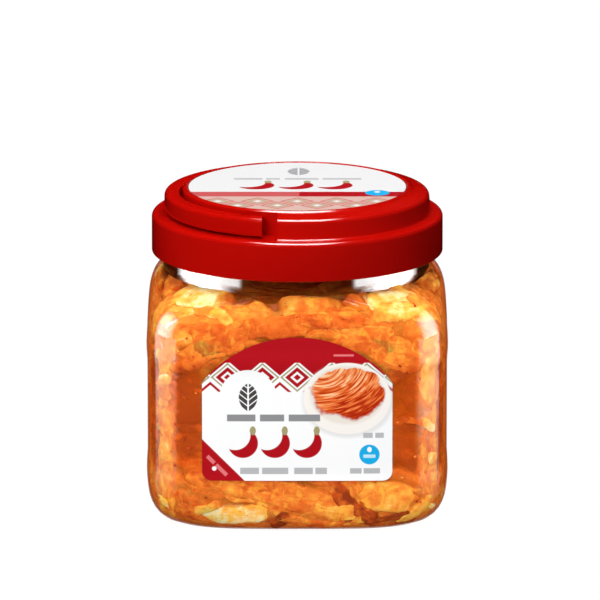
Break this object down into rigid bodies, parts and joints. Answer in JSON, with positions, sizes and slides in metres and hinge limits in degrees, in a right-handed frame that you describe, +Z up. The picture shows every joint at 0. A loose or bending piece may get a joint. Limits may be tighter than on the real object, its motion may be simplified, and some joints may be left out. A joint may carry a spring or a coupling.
{
  "type": "kimchi jar",
  "caption": "Square clear plastic jar with soft corners, packed with cabbage kimchi, shut by a round red screw lid with a folding carrying handle.",
  "frame": {"origin": "middle of the base, on the surface the jar stands on", "axes": "+Z up, labelled front towards -Y, handle round the left half of the lid at -X"},
  "size_m": [0.1208, 0.1213, 0.1288],
  "materials": {
    "jar_body": "clear, glossy",
    "kimchi": "wet food",
    "front_label": "printed film",
    "lid": "satin gloss",
    "lid_label": "printed film",
    "handle": "satin gloss"
  },
  "bodies": {
    "jar": {"jar_body": "jar_body", "kimchi": "kimchi", "front_label": "front_label", "lid": "lid", "lid_label": "lid_label"},
    "handle": {"handle": "handle"}
  },
  "joints": [
    {"name": "handle_fold", "type": "hinge", "parent": "jar", "child": "handle", "pos_m": [-0.0162, 0, 0.12325], "axis": [0, 1, 0], "range_deg": [0, 92]}
  ]
}
